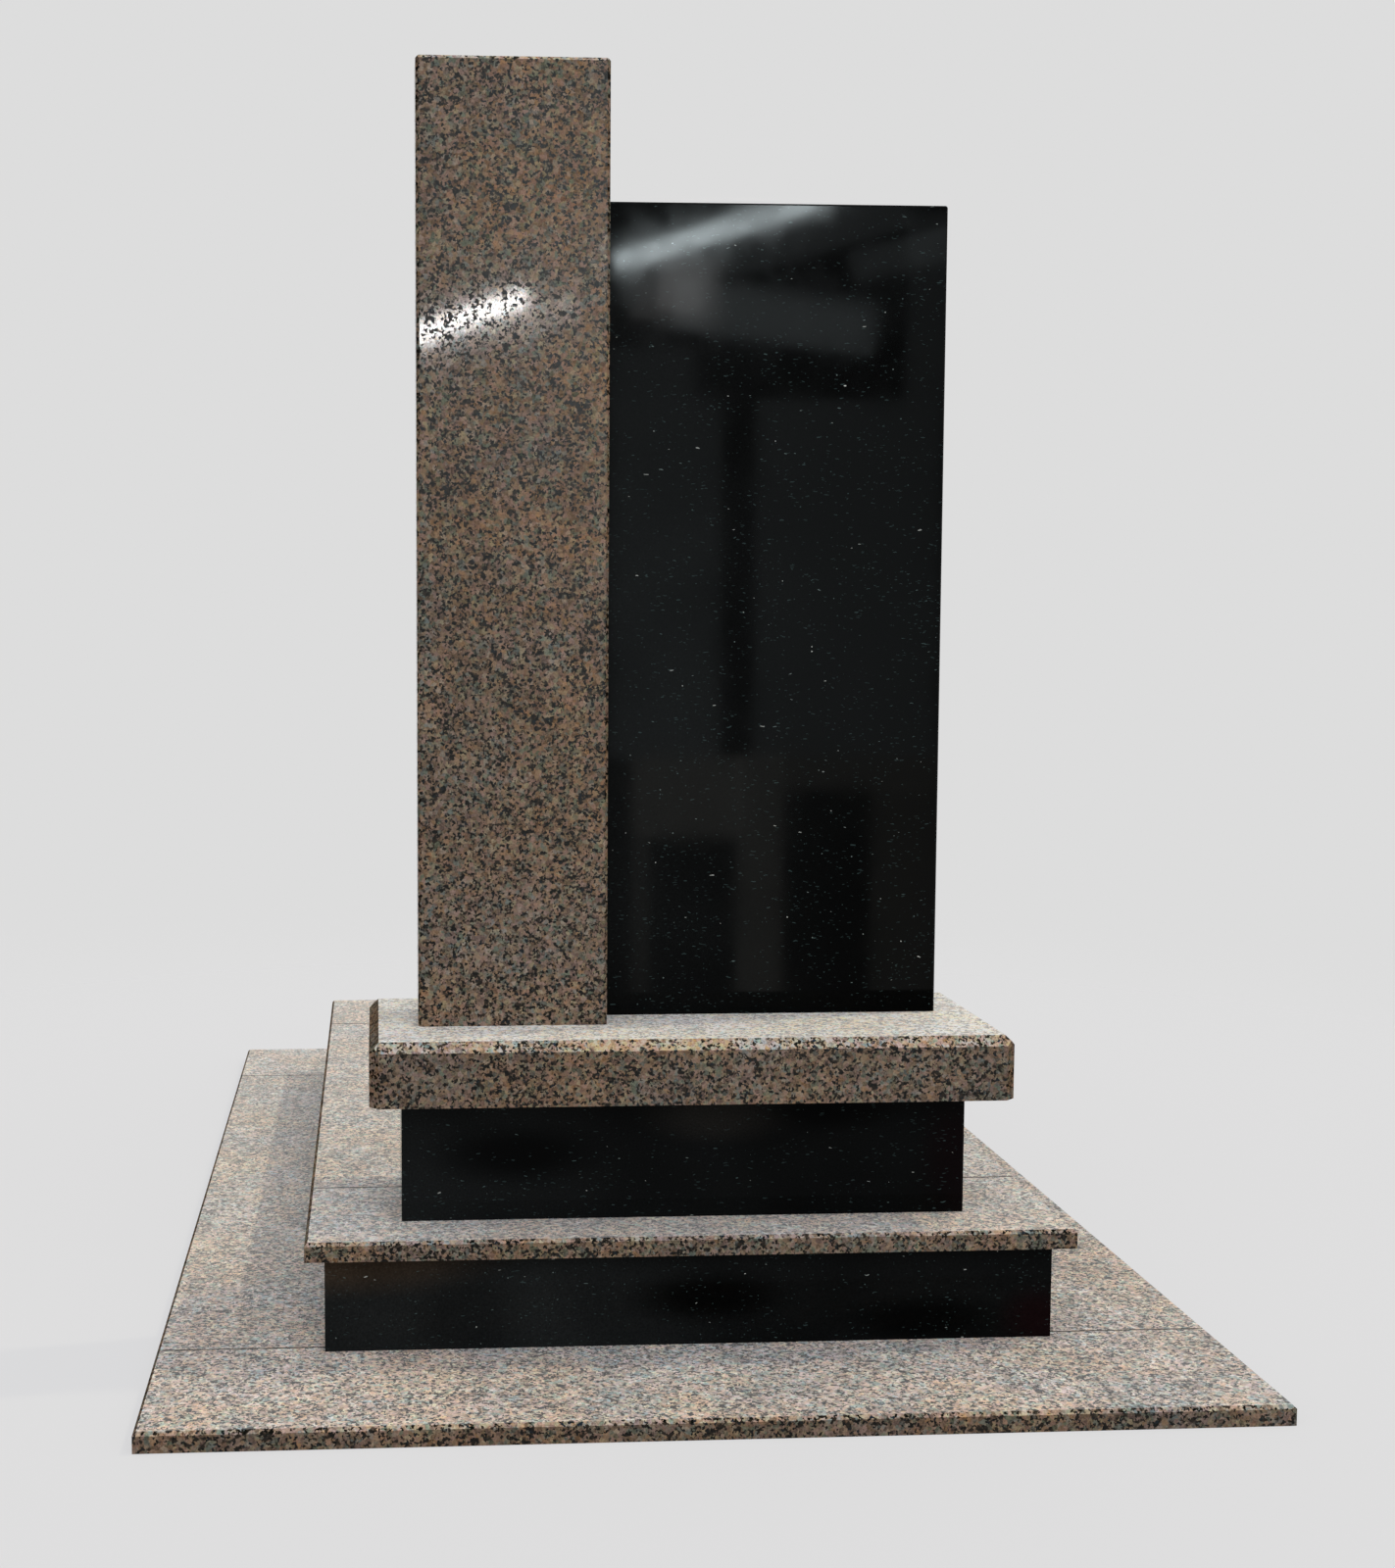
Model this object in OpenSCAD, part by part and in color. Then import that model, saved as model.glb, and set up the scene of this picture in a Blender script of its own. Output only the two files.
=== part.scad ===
// Granite grave monument. A tall pillar stands in front of a lower black stele, on a bevelled base
// and a block. They rest on the front cover slab of a kerbed bed, inside a surround of slabs.
// The origin is the centre of the plot on the ground, the front faces -Y, and sizes are in mm.

/* [Surround] */
// Overall width of the surround
surround_w = 1660; // [1380:10:2000]
// Overall length of the surround, front to back
surround_l = 2600; // [2300:10:3200]
// Thickness of the surround's slabs
surround_t = 30; // [20:1:60]
// Width of the open joints between the slabs
joint = 2; // [1:0.5:5]
// Arris on the slabs' top edges
slab_arris = 5; // [1:0.5:8]

/* [Kerb] */
// Width of the kerb over its facing panels
kerb_w = 1140; // [950:10:1370]
// Length of the kerb over its facing panels
kerb_l = 1990; // [1660:10:2250]
// Height of the facing panels above the surround
panel_h = 150; // [80:5:300]
// Thickness of the facing panels
panel_t = 20; // [10:1:40]
// Gap at the upright joints between the facing panels
panel_joint = 1; // [0.5:0.5:3]

/* [Cover] */
// Thickness of the cover slabs
cover_t = 30; // [20:1:60]
// Width of a cover slab, from its outer edge to the open bed
cover_strip = 310; // [250:5:370]
// How far the cover reaches past the kerb at the front and at the back
lip_end = 30; // [10:1:60]
// How far the cover reaches past the kerb at the sides
lip_side = 30; // [10:1:60]

/* [Block and base] */
// Width of the block under the base
block_w = 900; // [600:10:1080]
// Depth of the block
block_d = 190; // [120:5:220]
// Height of the block
block_h = 205; // [100:5:300]
// Arris on the block's upright and top edges
block_arris = 2; // [0.5:0.5:5]
// Distance from the block's back to the back edge of the front cover slab
block_margin = 10; // [0:1:30]
// Width of the base
base_w = 1000; // [850:10:1200]
// Depth of the base
base_d = 400; // [300:5:480]
// Height of the base
base_h = 100; // [50:5:150]
// Bevel on the base's top edges and upright corners
base_bevel = 15; // [3:1:30]

/* [Pillar and stele] */
// Width of the pillar
pillar_w = 300; // [200:5:360]
// Thickness of the pillar
pillar_t = 80; // [50:5:120]
// Height of the pillar above the base
pillar_h = 1500; // [1000:10:1800]
// Arris on the pillar's upright and top edges
pillar_arris = 5; // [1:0.5:10]
// Distance from the base's front back to the pillar's front
pillar_setback = 135; // [60:5:180]
// Distance from the base's left side to the pillar
pillar_margin = 78; // [20:1:120]
// Overall width of the stele
stele_w = 800; // [640:10:860]
// Width of the stele that shows to the right of the pillar
stele_show = 550; // [450:5:580]
// Thickness of the stele
stele_t = 80; // [50:5:120]
// Height of the stele above the base
stele_h = 1300; // [900:10:1600]
// Arris on the stele's upright and top edges
stele_arris = 3; // [1:0.5:10]

/* [Hidden] */

brown_granite = [0.42, 0.38, 0.34];
black_gabbro = [0.10, 0.10, 0.11];
concrete = [0.62, 0.61, 0.58];

// Half sizes of the concrete footing, which fills the kerb inside its facing panels
foot_x = kerb_w / 2 - panel_t;
foot_y = kerb_l / 2 - panel_t;

// Heights at which the layers start
panel_z = surround_t;
cover_z = panel_z + panel_h;
block_z = cover_z + cover_t;
base_z = block_z + block_h;
stand_z = base_z + base_h;

// Half sizes of the cover, and of the open bed inside it
cover_x = kerb_w / 2 + lip_side;
cover_y = kerb_l / 2 + lip_end;
bed_x = cover_x - cover_strip;
bed_y = cover_y - cover_strip;

// Centres of the stones that stand on the cover, with the base centred over the block
base_y = -bed_y - block_margin - block_d / 2;
pillar_y = base_y - base_d / 2 + pillar_setback + pillar_t / 2;
pillar_x = -base_w / 2 + pillar_margin + pillar_w / 2;
stele_y = pillar_y + pillar_t / 2 + stele_t / 2;
stele_x = pillar_x + pillar_w / 2 + stele_show - stele_w / 2;

// A size that reaches past everything, for the boxes that cut the slabs
reach = 2 * (surround_w + surround_l);

// Rectangle whose four corners are cut off at 45 degrees
module plan(w, d, cut) {
    x = w / 2;
    y = d / 2;
    polygon([
        [-x + cut, -y], [x - cut, -y], [x, -y + cut], [x, y - cut],
        [x - cut, y], [-x + cut, y], [-x, y - cut], [-x, -y + cut]
    ]);
}

// Face of a stone whose two top corners are cut off at 45 degrees
module face(w, h, cut) {
    x = w / 2;
    polygon([[-x, 0], [x, 0], [x, h - cut], [x - cut, h], [-x + cut, h], [-x, h - cut]]);
}

// Slab with its four top edges cut off at 45 degrees and square upright corners
module dressed_slab(w, d, h, cut) {
    intersection() {
        translate([0, d / 2, 0]) rotate([90, 0, 0]) linear_extrude(d) face(w, h, cut);
        translate([-w / 2, 0, 0]) rotate([90, 0, 90]) linear_extrude(w) face(d, h, cut);
    }
}

// Stone with its four top edges and four upright corners cut off at 45 degrees
module dressed_stone(w, d, h, cut) {
    intersection() {
        dressed_slab(w, d, h, cut);
        linear_extrude(h) plan(w, d, cut);
    }
}

// Upright box between two corners in plan
module zone(x0, x1, y0, y1, z0, z1) {
    translate([x0, y0, z0]) cube([x1 - x0, y1 - y0, z1 - z0]);
}

// Part of a slab at the front (side = -1) or at the back (side = 1), past the line y
module end_of_slab(side, y) {
    intersection() {
        children();
        if (side < 0)
            zone(-reach, reach, -reach, -y, -reach, reach);
        else
            zone(-reach, reach, y, reach, -reach, reach);
    }
}

// Part of a slab on the left (side = -1) or right (side = 1), between the end parts' joints
module side_of_slab(side, x, y) {
    intersection() {
        children();
        if (side < 0)
            zone(-reach, x, -y + joint, y - joint, -reach, reach);
        else
            zone(x, reach, -y + joint, y - joint, -reach, reach);
    }
}

// The whole surround as one slab with arrises on its outer top edges
module surround() {
    dressed_slab(surround_w, surround_l, surround_t, slab_arris);
}

module surround_end(side) {
    color(brown_granite) end_of_slab(side, foot_y) surround();
}

module surround_side(side) {
    color(brown_granite) side_of_slab(side, side * foot_x, foot_y) surround();
}

// Concrete beam under an end slab of the cover, which stands on the ground inside the surround
module footing_end(side) {
    y0 = side < 0 ? -foot_y : bed_y;
    y1 = side < 0 ? -bed_y : foot_y;
    color(concrete) zone(-foot_x, foot_x, y0, y1, 0, cover_z);
}

// Concrete beam under a side slab of the cover, between the two end beams
module footing_side(side) {
    x0 = side < 0 ? -foot_x : bed_x;
    x1 = side < 0 ? -bed_x : foot_x;
    color(concrete) zone(x0, x1, -bed_y, bed_y, 0, cover_z);
}

// Facing panel at the front or back, the full width of the kerb, on the surround's inner rim
module kerb_end(side) {
    y0 = side < 0 ? -kerb_l / 2 : foot_y;
    color(black_gabbro) zone(-kerb_w / 2, kerb_w / 2, y0, y0 + panel_t, panel_z, cover_z);
}

// Facing panel at the side, between the end panels
module kerb_side(side) {
    x0 = side < 0 ? -kerb_w / 2 : foot_x;
    y1 = foot_y - panel_joint;
    color(black_gabbro) zone(x0, x0 + panel_t, -y1, y1, panel_z, cover_z);
}

// The whole cover as one slab, with arrises round its outer edge and round the open bed
module cover() {
    translate([0, 0, cover_z])
        difference() {
            dressed_slab(2 * cover_x, 2 * cover_y, cover_t, slab_arris);
            zone(-bed_x, bed_x, -bed_y, bed_y, -cover_t, 2 * cover_t);
            translate([0, 0, cover_t]) flare(2 * bed_x, 2 * bed_y, slab_arris);
        }
}

// Funnel that cuts an arris round the top of an opening of this width and depth
module flare(w, d, cut) {
    intersection() {
        translate([0, d / 2 + 2 * cut, 0]) rotate([90, 0, 0]) linear_extrude(d + 4 * cut) funnel(w, cut);
        translate([-w / 2 - 2 * cut, 0, 0]) rotate([90, 0, 90]) linear_extrude(w + 4 * cut) funnel(d, cut);
    }
}

// Cross-section of the funnel, which widens at 45 degrees and reaches above the slab
module funnel(w, cut) {
    x = w / 2;
    polygon([[-x, -cut], [x, -cut], [x + 2 * cut, cut], [-x - 2 * cut, cut]]);
}

module cover_end(side) {
    color(brown_granite) end_of_slab(side, bed_y) cover();
}

module cover_side(side) {
    color(brown_granite) side_of_slab(side, side * bed_x, bed_y) cover();
}

// Black block, whole on the front cover slab and centred under the base
module block() {
    color(black_gabbro) translate([0, base_y, block_z]) dressed_stone(block_w, block_d, block_h, block_arris);
}

// Bevelled base that carries the pillar and the stele
module base() {
    color(brown_granite) translate([0, base_y, base_z]) dressed_stone(base_w, base_d, base_h, base_bevel);
}

// Tall pillar at the left, in front of the stele
module pillar() {
    color(brown_granite)
        translate([pillar_x, pillar_y, stand_z]) dressed_stone(pillar_w, pillar_t, pillar_h, pillar_arris);
}

// Black stele, which runs on behind the pillar and touches its back
module stele() {
    color(black_gabbro)
        translate([stele_x, stele_y, stand_z]) dressed_stone(stele_w, stele_t, stele_h, stele_arris);
}

surround_end(-1);  // surround_front
surround_end(1);  // surround_back
surround_side(-1);  // surround_left
surround_side(1);  // surround_right
footing_end(-1);  // footing_front
footing_end(1);  // footing_back
footing_side(-1);  // footing_left
footing_side(1);  // footing_right
kerb_end(-1);  // kerb_front
kerb_end(1);  // kerb_back
kerb_side(-1);  // kerb_left
kerb_side(1);  // kerb_right
cover_end(-1);  // cover_front
cover_end(1);  // cover_back
cover_side(-1);  // cover_left
cover_side(1);  // cover_right
block();
base();
pillar();
stele();
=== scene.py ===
"""Looks of the granite grave monument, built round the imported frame. Units are metres."""

import math

import bpy
import numpy as np
from mathutils import Matrix, Vector


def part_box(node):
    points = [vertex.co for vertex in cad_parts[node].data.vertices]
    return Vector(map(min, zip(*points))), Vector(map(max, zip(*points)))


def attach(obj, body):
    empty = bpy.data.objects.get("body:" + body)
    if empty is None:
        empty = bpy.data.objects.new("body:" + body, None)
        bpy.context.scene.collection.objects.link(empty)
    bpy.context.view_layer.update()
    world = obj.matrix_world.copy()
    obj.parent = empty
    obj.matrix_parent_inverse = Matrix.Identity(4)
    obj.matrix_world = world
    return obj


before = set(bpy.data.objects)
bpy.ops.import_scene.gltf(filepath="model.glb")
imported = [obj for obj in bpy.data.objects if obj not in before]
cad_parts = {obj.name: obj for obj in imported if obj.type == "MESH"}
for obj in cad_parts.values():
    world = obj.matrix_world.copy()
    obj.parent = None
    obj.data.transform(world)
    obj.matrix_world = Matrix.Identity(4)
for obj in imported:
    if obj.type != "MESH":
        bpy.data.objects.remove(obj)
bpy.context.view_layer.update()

MM = 0.001
# Grey of the backdrop, as a linear colour
PALE = 0.723
# Range that most of a soft noise keeps to, and its middle as a colour
NOISE_RANGE = (0.3, 0.7)
NOISE_MIDDLE = (0.5, 0.5, 0.5)
WHITE = (1.0, 1.0, 1.0)


# ---- shader maths ----


class Value:
    """A socket that carries a number. Arithmetic on it adds the Math node that works it out."""

    def __init__(self, nodes, socket):
        self.nodes = nodes
        self.socket = socket

    def math(self, operation, *others, clamp=False):
        """Math node of one operation, with this value first and then the others."""
        settings = {"operation": operation, "use_clamp": clamp}
        inputs = dict(enumerate((self, *others)))
        return self.nodes.add("ShaderNodeMath", settings, inputs).out()

    def __add__(self, other):
        return self.math("ADD", other)

    def __mul__(self, other):
        return self.math("MULTIPLY", other)

    def __sub__(self, other):
        return self.math("SUBTRACT", other)

    def __rsub__(self, other):
        return self.nodes.number(other).math("SUBTRACT", self)

    __radd__ = __add__
    __rmul__ = __mul__

    def limited(self):
        """This value held between 0 and 1."""
        return self.math("ADD", 0.0, clamp=True)

    def ramp(self, start, end, low=0.0, high=1.0):
        """Smooth step that goes from low to high while this value goes from start to end."""
        settings = {"interpolation_type": "SMOOTHSTEP"}
        inputs = {"Value": self, "From Min": start, "From Max": end, "To Min": low, "To Max": high}
        return self.nodes.add("ShaderNodeMapRange", settings, inputs).out("Result")


class Node:
    """One node with its sockets filled."""

    def __init__(self, nodes, node):
        self.nodes = nodes
        self.node = node

    def out(self, name=0):
        """The output of that name or number, for arithmetic or for a link."""
        return Value(self.nodes, self.node.outputs[name])


class Nodes:
    """The nodes of one material, or of the world."""

    def __init__(self, tree):
        self.tree = tree
        tree.nodes.clear()

    def add(self, kind, settings=None, inputs=None):
        """Adds a node of a kind, makes its settings, and then fills its sockets with values or links."""
        node = self.tree.nodes.new(kind)
        for name, value in (settings or {}).items():
            if name == "stops":
                self.set_stops(node.color_ramp, value)
            else:
                setattr(node, name, value)
        for name, value in (inputs or {}).items():
            if isinstance(value, Value):
                self.tree.links.new(value.socket, node.inputs[name])
            else:
                node.inputs[name].default_value = value
        return Node(self, node)

    def set_stops(self, ramp, stops):
        """Gives a colour ramp its stops, each a place from 0 to 1 and a colour."""
        while len(ramp.elements) < len(stops):
            ramp.elements.new(1.0)
        for element, (place, colour) in zip(ramp.elements, stops):
            element.position = place
            element.color = (*colour, 1.0)

    def number(self, value):
        """A number as a node's output, for an expression that starts with one."""
        node = self.add("ShaderNodeValue")
        node.node.outputs[0].default_value = value
        return node.out()

    def mix(self, factor, first, second):
        """Colour that goes from the first to the second as the factor goes from 0 to 1."""
        colours = [c if isinstance(c, Value) else (*c, 1.0) for c in (first, second)]
        settings = {"data_type": "RGBA", "clamp_factor": True}
        inputs = {0: factor, 6: colours[0], 7: colours[1]}
        return self.add("ShaderNodeMix", settings, inputs).out(2)

    def vector(self, operation, *inputs):
        """Vector Math node of one operation that gives a vector."""
        return self.add("ShaderNodeVectorMath", {"operation": operation}, dict(enumerate(inputs))).out()

    def measure(self, operation, *inputs):
        """Vector Math node of one operation that gives a number, such as a length."""
        made = self.add("ShaderNodeVectorMath", {"operation": operation}, dict(enumerate(inputs)))
        return made.out("Value")

    def scale(self, vector, factor):
        """A vector times a number."""
        inputs = {0: vector, "Scale": factor}
        return self.add("ShaderNodeVectorMath", {"operation": "SCALE"}, inputs).out()

    def split(self, vector):
        """The three numbers of a vector or colour."""
        node = self.add("ShaderNodeSeparateXYZ", inputs={0: vector})
        return [node.out(i) for i in range(3)]

    def place(self):
        """Where a point lies in the monument, in metres."""
        return self.add("ShaderNodeTexCoord").out("Object")

    def noise(self, place, size, detail=2.0, roughness=0.5, output="Fac"):
        """Soft noise whose blotches are about `size` metres across."""
        inputs = {"Vector": place, "Scale": 1.0 / size, "Detail": detail, "Roughness": roughness}
        return self.add("ShaderNodeTexNoise", inputs=inputs).out(output)

    def cells(self, place, size, output="Color"):
        """Irregular cells about `size` metres across: a random colour for each, or the distance in it."""
        inputs = {"Vector": place, "Scale": 1.0 / size}
        return self.add("ShaderNodeTexVoronoi", inputs=inputs).out(output)

    def shaken(self, place, size, reach):
        """The place moved about by up to half of `reach`, in blotches `size` metres across."""
        shake = self.vector("SUBTRACT", self.noise(place, size, 1.0, output="Color"), NOISE_MIDDLE)
        return self.vector("ADD", place, self.scale(shake, reach))

    def blend(self, factor, first, second):
        """Shader that goes from the first to the second as the factor goes from 0 to 1."""
        inputs = {0: factor, 1: first.out(), 2: second.out()}
        return self.add("ShaderNodeMixShader", inputs=inputs)

    def surface(self, shader):
        """Ends a material with this shader as its surface."""
        self.add("ShaderNodeOutputMaterial", inputs={"Surface": shader.out()})


def material(name, tint):
    """New material with an empty node tree, and a plain tint for the viewport."""
    made = bpy.data.materials.new(name)
    made.use_nodes = True
    made.diffuse_color = (*tint, 1.0)
    return made, Nodes(made.node_tree)


def plate_rays(nodes):
    """1 for the rays that look at the backdrop straight, in a gloss or through glass, and 0 for light."""
    path = nodes.add("ShaderNodeLightPath")
    seen = path.out("Is Camera Ray").math("MAXIMUM", path.out("Is Glossy Ray"))
    return seen.math("MAXIMUM", path.out("Is Transmission Ray"))


# ---- brown granite ----


PINK_FELDSPAR = (0.174, 0.120, 0.085)
PALE_FELDSPAR = (0.201, 0.164, 0.112)
ORANGE_FELDSPAR = (0.194, 0.119, 0.070)
GREY_QUARTZ = (0.136, 0.127, 0.098)
GREEN_QUARTZ = (0.102, 0.114, 0.088)
# Colours of the crystals along the value that sorts them into kinds
CRYSTAL_KINDS = (
    (0.00, GREEN_QUARTZ), (0.14, GREEN_QUARTZ), (0.24, GREY_QUARTZ), (0.36, PALE_FELDSPAR),
    (0.54, PINK_FELDSPAR), (0.76, PINK_FELDSPAR), (0.92, ORANGE_FELDSPAR),
)
BROWN_MICA = (0.024, 0.017, 0.011)
BLACK_MICA = (0.003, 0.003, 0.002)
BLUE_MICA = (0.008, 0.012, 0.015)
# Casts that single crystals take, and casts that drift through the stone
YELLOW_CAST = (1.01, 1.00, 0.89)
MAUVE_CAST = (1.01, 0.98, 1.09)
COOL_DRIFT = (0.938, 1.0, 1.08)
WARM_DRIFT = (1.062, 1.0, 0.92)
# Sizes of the crystals, of the grain in them, and of the small and large flecks of mica
CRYSTAL = 6.5 * MM
GRAIN = 3.0 * MM
SMALL_FLECK = 3.9 * MM
LARGE_FLECK = 7.5 * MM
# Sizes of the ragged edges, of mica's clusters, of patches of one kind, and of the drifts
RAGGED = 3.5 * MM
RAGGED_REACH = 5.0 * MM
CLUSTER = 14 * MM
PATCH = 20 * MM
DRIFT = 55 * MM
SLOW_DRIFT = 150 * MM
DRIFT_RANGE = (0.25, 0.75)
# Where in its pattern the slow drift starts, and the tones it goes between
DRIFT_START = (-1.6, -1.1, 1.8)
DRIFT_TONES = (0.93, 1.07)
# How far a crystal's kind is its own, and how far that of its patch
OWN_KIND = 0.70
PATCH_KIND = 0.30
# What a crystal's shade, its grain and the drift add to its tone
SHADE_TONE = 0.85
GRAIN_TONE = 1.55
DRIFT_TONE = 0.22
# Range of the random number that goes from the yellow cast to the mauve one
CAST_RANGE = (0.1, 0.9)
# Clusters of mica: how much the noise and the drift say, and the least
CLUSTER_NOISE = 0.9
CLUSTER_DRIFT = 0.12
CLUSTER_LEAST = 0.09
# From where to where in a cluster the flecks crowd together, and their share at each end
SMALL_CROWDING = (0.40, 0.78, 0.14, 0.47)
LARGE_CROWDING = (0.42, 0.80, 0.02, 0.09)
SMALL_EDGE = 0.08
LARGE_EDGE = 0.04
# Ranges of the random numbers that make a fleck blue or brown
BLUE_RANGE = (0.82, 0.86)
BROWN_RANGE = (0.3, 0.95)
# Painted light on the tops: how much brighter their colours are painted for the light they catch, the tint
# of the painted reflection of the pale sky over them, and the palest they get
PAINTED_TOP_LIGHT_GAIN = (3.22, 3.70, 4.42)
PAINTED_REFLECTION_TINT = (1.0, 0.975, 0.92)
PALEST = (0.98, 0.98, 0.98)
# How sharply the painted reflection gathers on faces that look up
PAINTED_REFLECTION_POWER = 3.0
# Direction of the painted light, from above and a little from the front right: faces that look towards it
# are painted paler, faces that look away stay darker
PAINTED_LIGHT_DIRECTION = (0.147, -0.118, 0.982)
# How far a face has to look towards it to be painted pale, and to be honed
PAINTED_PALE_RANGE = (0.62, 0.98)
HONED_RANGE = (0.85, 0.98)
# How far a face has to look along one axis not to be an arris
SQUARE_RANGE = (0.8, 0.95)
# Roughness of the polish on crystals, what mica adds to it, and the strength of the gloss
POLISH = 0.06
MICA_ROUGHNESS = 0.34
GRANITE_GLOSS = 0.15
HONED_ROUGHNESS = 0.6
HONED_SHEEN = 0.5
SHEEN_ROUGHNESS = 0.5
GROUND_ROUGHNESS = 0.8


def granite_colour(nodes, place):
    """Crystals of feldspar and quartz about 6 mm across, in patches of one kind, with clusters of dark mica
    flecks. The stone as a whole drifts slowly in tone, and from cool to warm. Gives the colour, and how
    much of each point is mica."""
    ragged = nodes.shaken(place, RAGGED, RAGGED_REACH)
    drift = nodes.noise(place, DRIFT).ramp(*DRIFT_RANGE)
    patch = nodes.noise(place, PATCH, 1.0)
    kind, shade, cast = nodes.split(nodes.cells(ragged, CRYSTAL))
    sort = (kind * OWN_KIND + patch.ramp(*NOISE_RANGE) * PATCH_KIND).limited()
    crystal = nodes.add("ShaderNodeValToRGB", {"stops": CRYSTAL_KINDS}, {"Fac": sort}).out("Color")
    grain = nodes.noise(place, GRAIN, 1.0)
    moved = nodes.vector("ADD", place, DRIFT_START)
    tide, warmth, _ = nodes.split(nodes.noise(moved, SLOW_DRIFT, 1.0, output="Color"))
    tone = shade * SHADE_TONE + grain * GRAIN_TONE + drift * DRIFT_TONE - DRIFT_TONE
    crystal = nodes.scale(crystal, tone * tide.ramp(*NOISE_RANGE, *DRIFT_TONES))
    slow_cast = nodes.mix(warmth.ramp(*NOISE_RANGE), COOL_DRIFT, WARM_DRIFT)
    crystal = nodes.vector("MULTIPLY", crystal, slow_cast)
    own_cast = nodes.mix(cast.ramp(*CAST_RANGE), YELLOW_CAST, MAUVE_CAST)
    crystal = nodes.vector("MULTIPLY", crystal, own_cast)
    fleck, depth, hue = nodes.split(nodes.cells(ragged, SMALL_FLECK))
    clump = nodes.split(nodes.cells(ragged, LARGE_FLECK))[0]
    cluster = nodes.noise(place, CLUSTER) * CLUSTER_NOISE + (1.0 - drift) * CLUSTER_DRIFT + CLUSTER_LEAST
    small = (cluster.ramp(*SMALL_CROWDING) - fleck).ramp(0.0, SMALL_EDGE)
    large = (cluster.ramp(*LARGE_CROWDING) - clump).ramp(0.0, LARGE_EDGE)
    mica = nodes.mix(hue.ramp(*BLUE_RANGE), BLACK_MICA, BLUE_MICA)
    mica = nodes.mix(depth.ramp(*BROWN_RANGE), mica, BROWN_MICA)
    dark = small.math("MAXIMUM", large)
    return nodes.mix(dark, crystal, mica), dark


def brown_granite(name, painted_reflection, strength=WHITE, vivid=1.0, fade=None):
    """Brown granite: polished on upright faces and matt on the ground arrises. Faces that look up towards
    the painted light are honed, and their colour is painted pale: brighter for painted light, under a
    painted reflection of the pale sky. `strength` is how much stronger their three painted colours are
    than on a plain slab, and `vivid` how much more colourful their crystals. `fade` is an axis, the place
    where the painted reflection starts to change, the place where it ends, and its amount there, so that
    painted light and shade are evened out along the slab."""
    made, nodes = material(name, (0.36, 0.31, 0.27))
    place = nodes.place()
    facing = nodes.add("ShaderNodeNewGeometry").out("Normal")
    axes = nodes.split(nodes.vector("ABSOLUTE", facing))
    square = axes[0].math("MAXIMUM", axes[1]).math("MAXIMUM", axes[2])
    # How far a face looks towards the painted light. The same measure picks out the honed faces.
    facing_painted_light = nodes.measure("DOT_PRODUCT", facing, PAINTED_LIGHT_DIRECTION)
    up = facing_painted_light.ramp(*PAINTED_PALE_RANGE)
    crystals, mica = granite_colour(nodes, place)
    richer = nodes.add("ShaderNodeHueSaturation", inputs={"Saturation": vivid, "Color": crystals}).out()
    # Painted light and painted reflection on the tops: the crystals made brighter, and a pale reflection of
    # the sky added
    gain = tuple(np.multiply(strength, PAINTED_TOP_LIGHT_GAIN))
    share = up.math("POWER", PAINTED_REFLECTION_POWER)
    if fade:
        # The painted reflection changes along the slab, to even out the painted light and shade on it
        axis, start, end, last = fade
        share = share * nodes.split(place)["xyz".index(axis)].ramp(start, end, 1.0, last / painted_reflection)
    haze = nodes.scale(tuple(painted_reflection * part for part in PAINTED_REFLECTION_TINT), share)
    pale = nodes.vector("ADD", nodes.vector("MULTIPLY", richer, gain), haze)
    pale = nodes.vector("MINIMUM", pale, PALEST)
    colour = nodes.mix(up, crystals, pale)
    polished = nodes.add("ShaderNodeBsdfPrincipled", inputs={
        "Base Color": colour, "Roughness": mica * MICA_ROUGHNESS + POLISH,
        "Specular IOR Level": GRANITE_GLOSS})
    honed = nodes.add("ShaderNodeBsdfPrincipled", inputs={
        "Base Color": colour, "Roughness": HONED_ROUGHNESS, "Specular IOR Level": GRANITE_GLOSS,
        "Sheen Weight": HONED_SHEEN, "Sheen Roughness": SHEEN_ROUGHNESS})
    ground = nodes.add("ShaderNodeBsdfPrincipled", inputs={
        "Base Color": colour, "Roughness": GROUND_ROUGHNESS, "Specular IOR Level": 0.0})
    face = nodes.blend(facing_painted_light.ramp(*HONED_RANGE), polished, honed)
    nodes.surface(nodes.blend(square.ramp(*SQUARE_RANGE), ground, face))
    return made


# ---- black gabbro ----


# Sizes of the round spots' cells and of the dashes' cells, and how far a ball reaches in its cell
SPOT = 7 * MM
SPOT_REACH = 0.12
DASH = 3.4 * MM
DASH_REACH = 0.18
# Slope of the dashes in radians, how far they are drawn out, and how they bend
DASH_SLOPE = 0.35
DASH_DRAW = 0.20
BEND = 16 * MM
BEND_REACH = 9.0 * MM
# Share of its reach that the smallest ball has
LEAST_REACH = 0.6
# How soft a ball's edge is, and how soft the edge between chosen cells and the rest
BALL_EDGE = 0.06
CHOICE_EDGE = 0.05
# Brightness of the faintest glints, and what the brighter ones and the few brightest add
LEAST_BRIGHT = 0.05
MORE_BRIGHT = 0.06
MOST_BRIGHT = 0.80
# Powers of the random number that make the brighter glints rare, and the brightest very rare
RARE = 3.0
VERY_RARE = 60.0
# Crowds of glints: their size, the range of their noise and the share of cells at each end
CROWD = 90 * MM
CROWDING = (0.34, 0.66, 0.35, 1.0)
SPOT_SHARE = 0.6
# Brightness at which a glint's colour starts to turn pale, and where it is
PALE_GLINT = (0.1, 0.5)
# Clouds and fine grain in the ground: their size and the depths they go between
CLOUD = 190 * MM
CLOUD_DEPTHS = (0.75, 1.25)
FINE_GRAIN = 3 * MM
FINE_DEPTH = 1.2
FINE_LEAST = 0.4
# Share of a painted reflection's half size at which it starts to fade, and where it ends
REFLECTION_EDGE = (0.25, 1.15)
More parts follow.
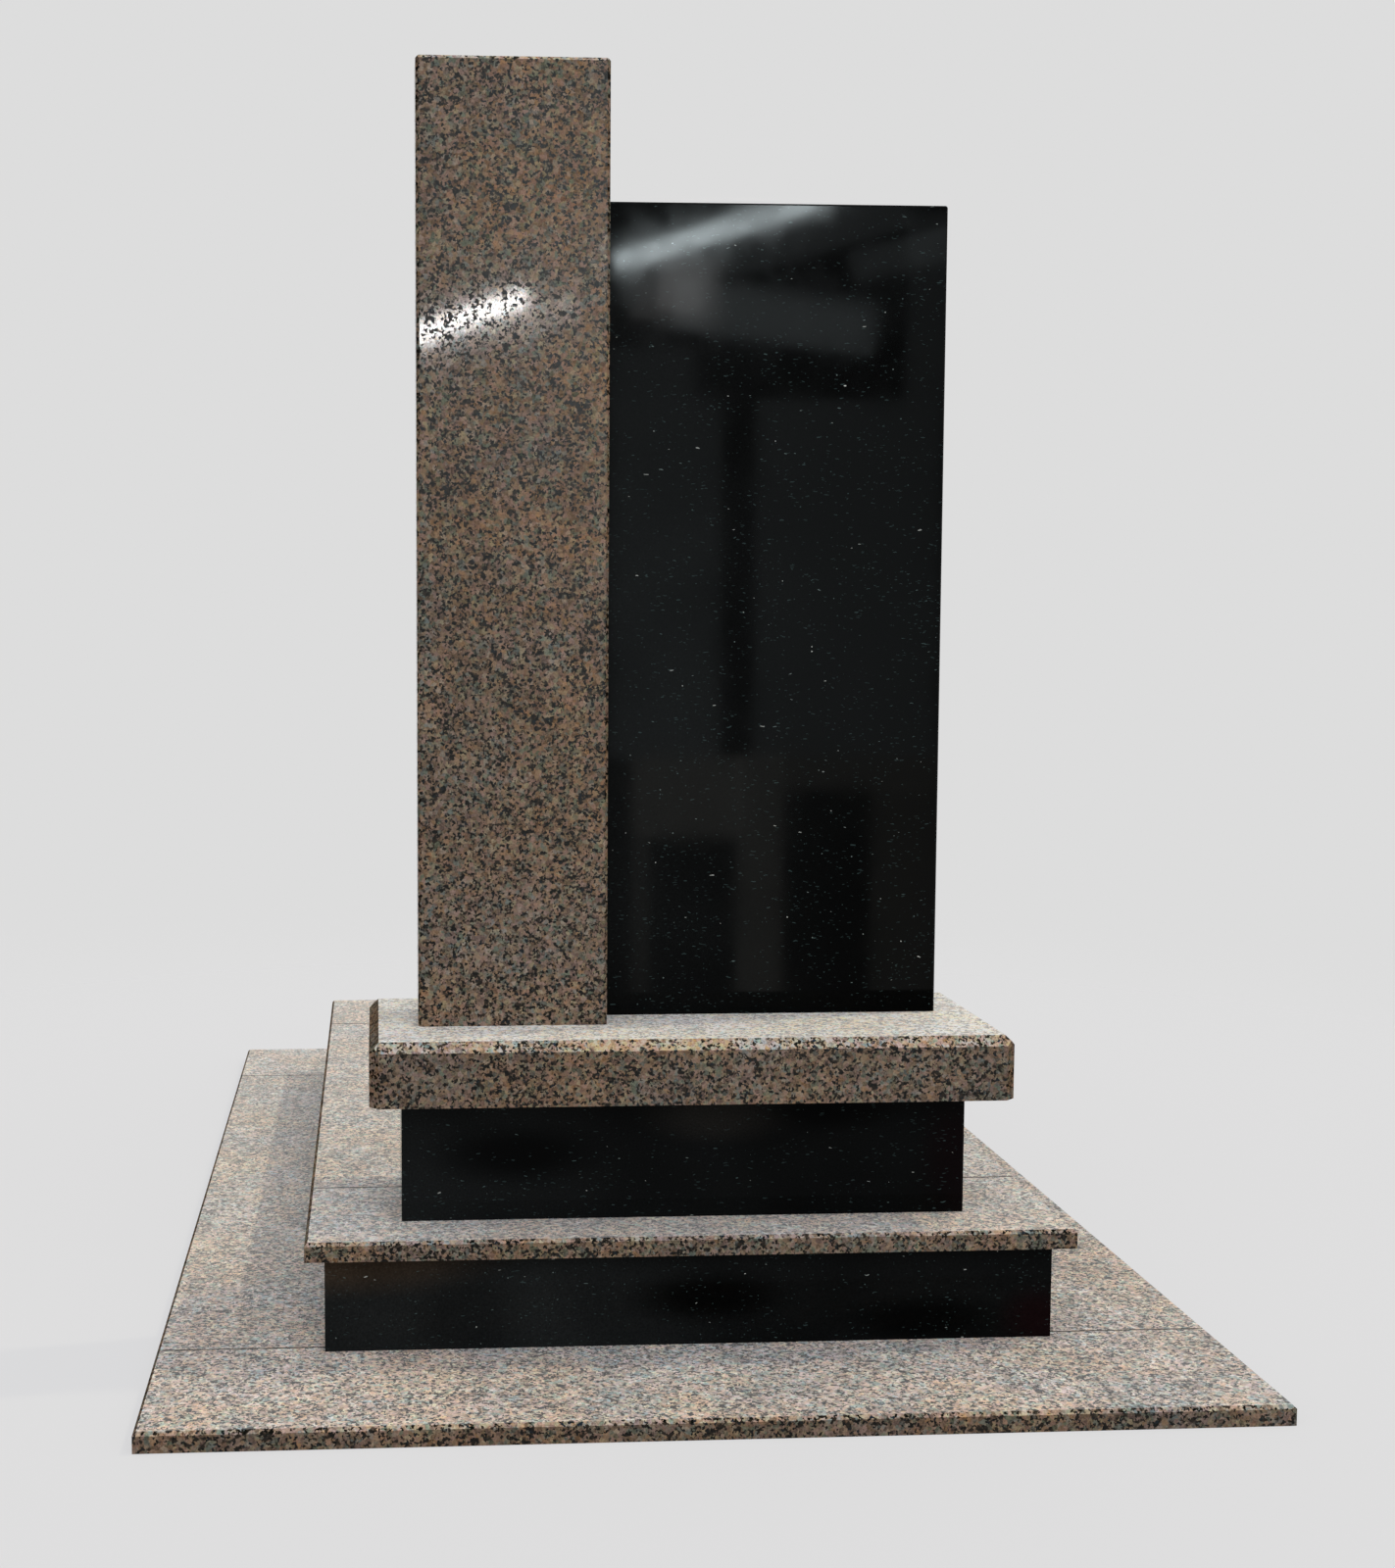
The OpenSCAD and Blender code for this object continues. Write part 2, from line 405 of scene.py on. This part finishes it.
# Unevenness of the polish
POLISH_PATCH = 60 * MM
GABBRO_POLISH = (0.05, 0.08)
FAINT_GLINT = (0.30, 0.51, 0.50)
BRIGHT_GLINT = (0.62, 0.64, 0.59)
GROUND_TINT = (0.90, 1.03, 1.04)
GABBRO_GLOSS = 0.025


def glints(nodes, place, size, reach, crowd):
    """Spots where a crystal comes near the polished face: small balls in some of the cells, most of them
    faint and a few bright, and more of them where the crowd value is high."""
    near = nodes.cells(place, size, "Distance")
    pick, width, tone = nodes.split(nodes.cells(place, size))
    ball = (width * reach + reach * LEAST_REACH - near).ramp(0.0, BALL_EDGE)
    chosen = (crowd - tone).ramp(0.0, CHOICE_EDGE)
    brighter = pick.math("POWER", RARE) * MORE_BRIGHT
    brightest = pick.math("POWER", VERY_RARE) * MOST_BRIGHT
    return ball * chosen * (brighter + brightest + LEAST_BRIGHT)


def black_gabbro(name, left, right, rich, start=-0.6, end=0.5, painted_reflections=()):
    """Polished black gabbro with round glints, and short bent dashes of paler crystals. Its ground goes
    from one depth of grey at the left to another at the right, between the places start and end: a
    painted reflection over the stone's own dark ground. `rich` is how full of dashes the stone is. Each
    painted reflection is a soft ball that darkens or tints the ground, given by its centre, its half sizes
    and what it does to the ground's colour."""
    made, nodes = material(name, (0.02, 0.02, 0.022))
    place = nodes.place()
    across = nodes.split(place)[0]
    crowd = nodes.noise(place, CROWD, 3.0).ramp(*CROWDING)
    spots = glints(nodes, place, SPOT, SPOT_REACH, crowd * SPOT_SHARE)
    bent = nodes.shaken(place, BEND, BEND_REACH)
    slant = nodes.add("ShaderNodeMapping", inputs={
        "Vector": bent, "Rotation": (0.0, DASH_SLOPE, 0.0), "Scale": (DASH_DRAW, 1.0, 1.0)}).out()
    dashes = glints(nodes, slant, DASH, DASH_REACH, crowd * rich)
    glint = spots.math("MAXIMUM", dashes).limited()
    tint = nodes.mix(glint.ramp(*PALE_GLINT), FAINT_GLINT, BRIGHT_GLINT)
    cloud = nodes.noise(place, CLOUD, 1.0).ramp(*NOISE_RANGE, *CLOUD_DEPTHS)
    fine = nodes.noise(place, FINE_GRAIN) * FINE_DEPTH + FINE_LEAST
    depth = across.ramp(start, end, left, right) * cloud * fine
    ground = nodes.scale(GROUND_TINT, depth)
    # Painted reflections: each soft ball darkens or tints the ground
    for centre, half, shade in painted_reflections:
        apart = nodes.vector("DIVIDE", nodes.vector("SUBTRACT", place, centre), half)
        outside = nodes.measure("LENGTH", apart).ramp(*REFLECTION_EDGE)
        ground = nodes.vector("MULTIPLY", ground, nodes.mix(outside, shade, WHITE))
    nodes.surface(nodes.add("ShaderNodeBsdfPrincipled", inputs={
        "Base Color": nodes.mix(glint, ground, tint),
        "Roughness": nodes.noise(place, POLISH_PATCH).ramp(*NOISE_RANGE, *GABBRO_POLISH),
        "Specular IOR Level": GABBRO_GLOSS}))
    return made


# Painted reflections in the kerb's front panel and in the block's front: two dark ones, a pale warm glow,
# and a reddish glow at the right
KERB_PAINTED_REFLECTIONS = (
    ((0.03, -0.995, 0.105), (0.14, 0.3, 0.050), (0.10, 0.10, 0.10)),
    ((0.37, -0.995, 0.062), (0.14, 0.3, 0.045), (0.20, 0.20, 0.20)),
    ((-0.54, -0.995, 0.185), (0.26, 0.3, 0.070), (3.6, 2.2, 1.4)),
    ((0.55, -0.995, 0.060), (0.07, 0.3, 0.060), (1.4, 0.5, 0.6)),
)
BLOCK_PAINTED_REFLECTIONS = (
    ((-0.265, -0.915, 0.315), (0.15, 0.3, 0.055), (0.25, 0.25, 0.25)),
    ((0.237, -0.915, 0.385), (0.12, 0.3, 0.045), (0.10, 0.10, 0.10)),
    ((0.055, -0.915, 0.375), (0.13, 0.3, 0.050), (3.2, 2.7, 2.4)),
    ((0.44, -0.915, 0.300), (0.07, 0.3, 0.130), (1.1, 0.5, 0.6)),
)


# ---- concrete and mortar ----


DARK_CEMENT = (0.33, 0.32, 0.30)
PALE_CEMENT = (0.49, 0.48, 0.45)
LIME = (0.58, 0.57, 0.54)
PORE_SHADE = (0.12, 0.115, 0.105)
PORE_SPACING = 22 * MM
PORE_SHARE = (0.6, 1.0)
PORE_SIZE = 0.12
PORE_EDGE = (-0.01, 0.03)
STAIN_RANGE = (0.35, 0.7)
STAIN_STRENGTH = 0.4
DARK_MORTAR = (0.035, 0.030, 0.024)
PALE_MORTAR = (0.085, 0.074, 0.062)
MORTAR_STAIN = (0.12, 0.105, 0.09)


def cast_concrete():
    """Grey cast concrete of the footing, with sand, pale lime stains and small pores left by air."""
    made, nodes = material("cast_concrete", (0.42, 0.41, 0.38))
    place = nodes.place()
    sand = nodes.noise(place, 2.5 * MM, 3.0, 0.7)
    stain = nodes.noise(place, 140 * MM, 3.0).ramp(*STAIN_RANGE)
    near = nodes.cells(place, PORE_SPACING, "Distance")
    width = nodes.split(nodes.cells(place, PORE_SPACING))[0]
    pore = (width.ramp(*PORE_SHARE) * PORE_SIZE - near).ramp(*PORE_EDGE)
    colour = nodes.mix(sand.ramp(*NOISE_RANGE), DARK_CEMENT, PALE_CEMENT)
    colour = nodes.mix(stain * STAIN_STRENGTH, colour, LIME)
    colour = nodes.mix(pore, colour, PORE_SHADE)
    height = sand * 0.4 - pore * 2.0
    bump = nodes.add("ShaderNodeBump", inputs={"Strength": 0.6, "Distance": 1.0 * MM, "Height": height})
    nodes.surface(nodes.add("ShaderNodeBsdfPrincipled", inputs={
        "Base Color": colour, "Roughness": 0.85, "Normal": bump.out()}))
    return made


def pointing_mortar():
    """Dark brown mortar with fine sand in it."""
    made, nodes = material("pointing_mortar", (0.1, 0.09, 0.08))
    place = nodes.place()
    sand = nodes.noise(place, 1.2 * MM).ramp(*NOISE_RANGE)
    stain = nodes.noise(place, 70 * MM).ramp(*NOISE_RANGE)
    colour = nodes.mix(sand, DARK_MORTAR, PALE_MORTAR)
    colour = nodes.mix(stain * STAIN_STRENGTH, colour, MORTAR_STAIN)
    bump = nodes.add("ShaderNodeBump", inputs={"Strength": 0.5, "Distance": 0.3 * MM, "Height": sand})
    nodes.surface(nodes.add("ShaderNodeBsdfPrincipled", inputs={
        "Base Color": colour, "Roughness": 0.9, "Normal": bump.out()}))
    return made


# ---- finish of each stone ----


FINISHES = {
    # Each slab's top gets its own amount of painted reflection. The fades and the stand's stronger painted
    # light even out the light and shade the tops catch.
    "surround_front": brown_granite("brown_granite_front_slab", 0.0),
    "surround_left": brown_granite("brown_granite_left_slab", 0.02, fade=("y", -0.95, -0.4, 0.12)),
    "surround_right": brown_granite("brown_granite_right_slab", 0.0),
    "cover_front": brown_granite("brown_granite_front_cover", 0.14, fade=("x", 0.2, 0.5, 0.075)),
    "cover_left": brown_granite("brown_granite_cover", 0.085),
    "base": brown_granite("brown_granite_stand", 0.26, strength=(1.37, 1.40, 1.52), vivid=1.2),
    "footing": cast_concrete(),
    # The gabbro's ground is lighter at one side than at the other: painted reflection over the dark stone
    "kerb": black_gabbro("black_gabbro_kerb", 0.0118, 0.0042, 0.60, -0.25, 0.25, KERB_PAINTED_REFLECTIONS),
    "block": black_gabbro("black_gabbro_block", 0.0090, 0.0038, 0.80, -0.45, 0.2, BLOCK_PAINTED_REFLECTIONS),
    "stele": black_gabbro("black_gabbro_stele", 0.0095, 0.0002, 1.0),
}
FINISHES["surround_back"] = FINISHES["surround_left"]
FINISHES["cover_right"] = FINISHES["cover_left"]
FINISHES["cover_back"] = FINISHES["cover_left"]
FINISHES["pillar"] = FINISHES["base"]

for name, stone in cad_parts.items():
    stone.data.materials.clear()
    stone.data.materials.append(FINISHES.get(name) or FINISHES[name.split("_")[0]])


# ---- pointing in the joints ----


BEAD_WIDTH = 4.5 * MM
BEAD_RISE = 0.7 * MM
BEAD_SINK = 0.2 * MM
BEAD_MARGIN = 6 * MM
BEAD_SIDES = 8
BEAD_STEPS = 40
BEAD_END = 0.5
# How much the width wanders in long and in short waves, and their turns in radians a metre
LONG_WANDER = 0.12
LONG_WAVE = 37.0
SHORT_WANDER = 0.08
SHORT_WAVE = 91.0
UP = np.array((0.0, 0.0, 1.0))


def bead(name, start, end):
    """Low bead of mortar along a level joint. A ring of points on an ellipse is carried from start to end:
    each point is the joint's line, plus half the width times the cosine of its turn across the joint, plus
    the rise times the sine of its turn upwards. The width wanders by two sine waves, as the trowel left
    it, and the rings at the two ends are half as big. The ellipse's lower half lies in the joint."""
    start, end = np.array(start), np.array(end)
    run = np.linalg.norm(end - start)
    side = np.cross(UP, (end - start) / run)
    along = np.linspace(0.0, 1.0, BEAD_STEPS + 1)[:, None]
    turn = np.linspace(0.0, 2 * math.pi, BEAD_SIDES, endpoint=False)[None, :]
    taper = np.where((along > 0.0) & (along < 1.0), 1.0, BEAD_END)
    slow = LONG_WANDER * np.sin(LONG_WAVE * along * run)
    quick = SHORT_WANDER * np.sin(SHORT_WAVE * along * run + 1.0)
    wander = 1.0 + slow + quick
    across = np.cos(turn) * BEAD_WIDTH / 2 * wander * taper
    rise = np.sin(turn) * BEAD_RISE * taper
    centre = start + along[:, :, None] * (end - start)
    points = centre + across[:, :, None] * side + rise[:, :, None] * UP
    row, column = np.meshgrid(np.arange(BEAD_STEPS), np.arange(BEAD_SIDES), indexing="ij")
    after = (column + 1) % BEAD_SIDES
    quads = np.stack([
        row * BEAD_SIDES + column,
        row * BEAD_SIDES + after,
        (row + 1) * BEAD_SIDES + after,
        (row + 1) * BEAD_SIDES + column,
    ], -1).reshape(-1, 4)
    last = BEAD_STEPS * BEAD_SIDES
    caps = [list(range(BEAD_SIDES))[::-1], list(range(last, last + BEAD_SIDES))]
    mesh = bpy.data.meshes.new(name)
    mesh.from_pydata(points.reshape(-1, 3).tolist(), [], quads.tolist() + caps)
    mesh.polygons.foreach_set("use_smooth", [True] * len(quads) + [False] * len(caps))
    piece = bpy.data.objects.new(name, mesh)
    bpy.context.scene.collection.objects.link(piece)
    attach(piece, "root")
    return piece


def point_joints(layer, mortar):
    """Beads over the four joints between one layer's end slabs and side slabs, just sunk in the tops."""
    for end in ("front", "back"):
        end_low, end_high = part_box(f"{layer}_{end}")
        for side in ("left", "right"):
            low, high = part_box(f"{layer}_{side}")
            y = (end_high.y + low.y) / 2 if end == "front" else (end_low.y + high.y) / 2
            z = high.z - BEAD_SINK
            name = f"pointing_{layer}_{end}_{side}"
            piece = bead(name, (low.x + BEAD_MARGIN, y, z), (high.x - BEAD_MARGIN, y, z))
            piece.data.materials.append(mortar)


mortar = pointing_mortar()
point_joints("surround", mortar)
point_joints("cover", mortar)


# ---- floor ----


FLOOR_RADIUS = 5.0
FLOOR_RINGS = 24
FLOOR_SPOKES = 96
# Distances from the middle between which the floor fades out
FADE_START = 1.9
FADE_END = 4.5
# Share of the floor's look that is an even glow. The rest keeps the shadow.
GLOW_SHARE = 0.8
FLOOR_GLOW = (0.736, 0.736, 0.746, 1.0)
# Colour of the floor as it lights the stones, and as it is seen
FLOOR_LIT = (0.3, 0.3, 0.3)
FLOOR_SEEN = (0.8, 0.8, 0.8)


def round_floor():
    """Flat disc on the ground. Each point is a radius, which grows evenly from ring to ring, times the
    cosine and the sine of its spoke's angle, and one point closes the middle."""
    radius = np.linspace(0.0, FLOOR_RADIUS, FLOOR_RINGS + 1)[1:, None]
    angle = np.linspace(0.0, 2 * math.pi, FLOOR_SPOKES, endpoint=False)[None, :]
    flat = np.zeros((FLOOR_RINGS, FLOOR_SPOKES))
    points = np.stack([radius * np.cos(angle), radius * np.sin(angle), flat], -1).reshape(-1, 3)
    points = np.vstack([points, np.zeros((1, 3))])
    ring, spoke = np.meshgrid(np.arange(FLOOR_RINGS - 1), np.arange(FLOOR_SPOKES), indexing="ij")
    after = (spoke + 1) % FLOOR_SPOKES
    quads = np.stack([
        ring * FLOOR_SPOKES + spoke,
        (ring + 1) * FLOOR_SPOKES + spoke,
        (ring + 1) * FLOOR_SPOKES + after,
        ring * FLOOR_SPOKES + after,
    ], -1).reshape(-1, 4)
    first = np.arange(FLOOR_SPOKES)
    middle = np.full(FLOOR_SPOKES, FLOOR_RINGS * FLOOR_SPOKES)
    fans = np.stack([first, (first + 1) % FLOOR_SPOKES, middle], -1)
    mesh = bpy.data.meshes.new("floor")
    mesh.from_pydata(points.tolist(), [], quads.tolist() + fans.tolist())
    made = bpy.data.objects.new("floor", mesh)
    bpy.context.scene.collection.objects.link(made)
    return made


def floor_finish():
    """Pale matt floor that keeps the shadow and fades into the backdrop away from the monument."""
    made, nodes = material("pale_floor", (PALE, PALE, PALE))
    away = nodes.measure("LENGTH", nodes.place())
    seen = plate_rays(nodes)
    matt = nodes.add("ShaderNodeBsdfDiffuse", inputs={"Color": nodes.mix(seen, FLOOR_LIT, FLOOR_SEEN)})
    glow = nodes.add("ShaderNodeEmission", inputs={"Color": FLOOR_GLOW})
    clear = nodes.add("ShaderNodeBsdfTransparent")
    body = nodes.blend(seen * GLOW_SHARE, matt, glow)
    nodes.surface(nodes.blend(away.ramp(FADE_START, FADE_END), body, clear))
    return made


floor = round_floor()
floor.data.materials.append(floor_finish())


# ---- light ----


# Light of the whole dome, and what its front and its top add
DOME_LIGHT = 0.565
FRONT_LIGHT = (0.77, 0.765, 0.83)
TOP_LIGHT = 0.09
SUNLIGHT = (1.0, 0.917, 0.704)
SUN_FROM = (0.667, 0.14, 1.0)
SUN_POWER = 0.75
SUN_ANGLE = math.radians(1.2)


def studio_world():
    """Backdrop that looks pale, and a soft dome that lights the stones more from the front."""
    world = bpy.data.worlds.new("studio")
    world.use_nodes = True
    nodes = Nodes(world.node_tree)
    aim = nodes.add("ShaderNodeTexCoord").out("Generated")
    _, back, height = nodes.split(aim)
    front = (0.0 - back).ramp(0.1, 0.6) * height.ramp(0.0, 0.3) * (1.0 - height.ramp(0.6, 0.9))
    top = height.ramp(0.6, 0.95) * TOP_LIGHT + DOME_LIGHT
    glow = nodes.vector("ADD", nodes.scale(FRONT_LIGHT, front), nodes.scale(WHITE, top))
    dome = nodes.add("ShaderNodeBackground", inputs={"Color": glow})
    plate = nodes.add("ShaderNodeBackground", inputs={"Color": (PALE, PALE, PALE, 1.0)})
    mixed = nodes.blend(plate_rays(nodes), dome, plate)
    nodes.add("ShaderNodeOutputWorld", inputs={"Surface": mixed.out()})
    return world


def add_sun():
    """Warm weak sun from the right, a little behind the monument."""
    data = bpy.data.lights.new("sun", "SUN")
    data.energy = SUN_POWER
    data.angle = SUN_ANGLE
    data.color = SUNLIGHT
    sun = bpy.data.objects.new("sun", data)
    sun.rotation_euler = Vector(SUN_FROM).to_track_quat("Z", "Y").to_euler()
    scene.collection.objects.link(sun)


def add_strip(name, left, right, depth, height, brightness, tint=WHITE):
    """Slim lamp in front of the monument, seen only as a gloss on the polish. It runs from its left end to
    its right, each given across and up, at a depth along Y. `brightness` is that of its surface, so a
    bigger lamp isn't dimmer."""
    left = Vector((left[0], depth, left[1]))
    right = Vector((right[0], depth, right[1]))
    along = (right - left).normalized()
    away = Vector((0.0, -1.0, 0.0))
    data = bpy.data.lights.new(name, "AREA")
    data.shape = "RECTANGLE"
    data.size = (right - left).length
    data.size_y = height
    data.energy = brightness * data.size * height * math.pi
    data.color = tint
    lamp = bpy.data.objects.new(name, data)
    lamp.location = (left + right) / 2
    lamp.rotation_euler = Matrix((along, away.cross(along), away)).transposed().to_euler()
    lamp.visible_diffuse = False
    lamp.visible_camera = False
    scene.collection.objects.link(lamp)


scene = bpy.context.scene
scene.world = studio_world()
scene.view_settings.view_transform = "Standard"
add_sun()

WARM = (1.0, 1.0, 0.92)
COOL = (0.88, 1.0, 1.03)
# Depths of the lamps. Lamps in one plane hide one another, so those that overlap stand at steps. The low
# ones stand nearer, or the floor would hide their lower ends in the stele.
FRONT = -4.06
MIDDLE = -4.07
BEHIND = -4.08
FURTHER = -4.09
FURTHEST = -4.10
NEAR = -3.40

# Bright tube that shows in the pillar and in the stele, with the haze round it
add_strip("pillar_strip", (-0.42, 2.022), (-0.02, 2.163), MIDDLE, 0.055, 115.0)
add_strip("pillar_strip_end", (-0.42, 2.01), (0.14, 2.13), BEHIND, 0.10, 8.0)
add_strip("stele_strip", (0.275, 2.2967), (0.955, 2.5097), MIDDLE, 0.062, 200.0, COOL)
add_strip("stele_haze", (0.27, 2.27), (1.20, 2.54), BEHIND, 0.24, 4.0, COOL)

# Glow at the left end of a high window, and the paler edges at the right
add_strip("window_haze", (0.34, 2.246), (0.61, 2.210), FURTHER, 0.23, 9.3)
add_strip("window_glow", (0.42, 2.240), (0.57, 2.220), FURTHEST, 0.16, 17.0)
add_strip("right_edge", (1.21, 2.17), (1.38, 2.17), MIDDLE, 0.60, 2.6, COOL)
add_strip("corner_haze", (1.03, 2.285), (1.36, 2.375), FRONT, 0.10, 5.0, COOL)

# Walls and posts round a doorway, low in the stele
add_strip("wall_low", (0.335, 0.60), (0.69, 0.60), MIDDLE, 0.26, 4.0, WARM)
add_strip("post_left", (0.252, 0.277), (0.305, 0.277), NEAR, 0.52, 1.9, WARM)
add_strip("post_low", (0.561, 0.396), (0.696, 0.396), NEAR, 0.76, 3.2, WARM)
add_strip("lintel", (0.83, 0.68), (1.36, 0.68), MIDDLE, 0.11, 2.4, WARM)
add_strip("right_low", (0.957, 0.349), (1.172, 0.349), NEAR, 0.67, 1.9, WARM)

# The high window itself, and pale screens on both sides of a dark upright
add_strip("window", (0.46, 2.171), (1.11, 2.093), MIDDLE, 0.16, 9.2, COOL)
add_strip("left_screen", (0.258, 1.30), (0.62, 1.30), MIDDLE, 1.15, 2.9, COOL)
add_strip("left_upper", (0.258, 1.952), (0.53, 1.952), MIDDLE, 0.155, 2.6, COOL)
add_strip("right_screen", (0.73, 1.30), (1.34, 1.30), MIDDLE, 1.15, 2.8, COOL)


# ---- camera ----


CAMERA_PLACE = (-0.4856, -4.0749, 1.1428)
TILT_DOWN = 0.0832
TURN_RIGHT = 0.0611
SENSOR_WIDTH = 36.0
LENS = 46.84
SHIFT_RIGHT = 0.1250
SHIFT_UP = 0.0095

camera_data = bpy.data.cameras.new("camera")
camera_data.sensor_width = SENSOR_WIDTH
camera_data.lens = LENS
camera_data.shift_x = SHIFT_RIGHT
camera_data.shift_y = SHIFT_UP
camera = bpy.data.objects.new("camera", camera_data)
camera.location = CAMERA_PLACE
camera.rotation_euler = (math.pi / 2 - TILT_DOWN, 0, -TURN_RIGHT)
scene.collection.objects.link(camera)
scene.camera = camera
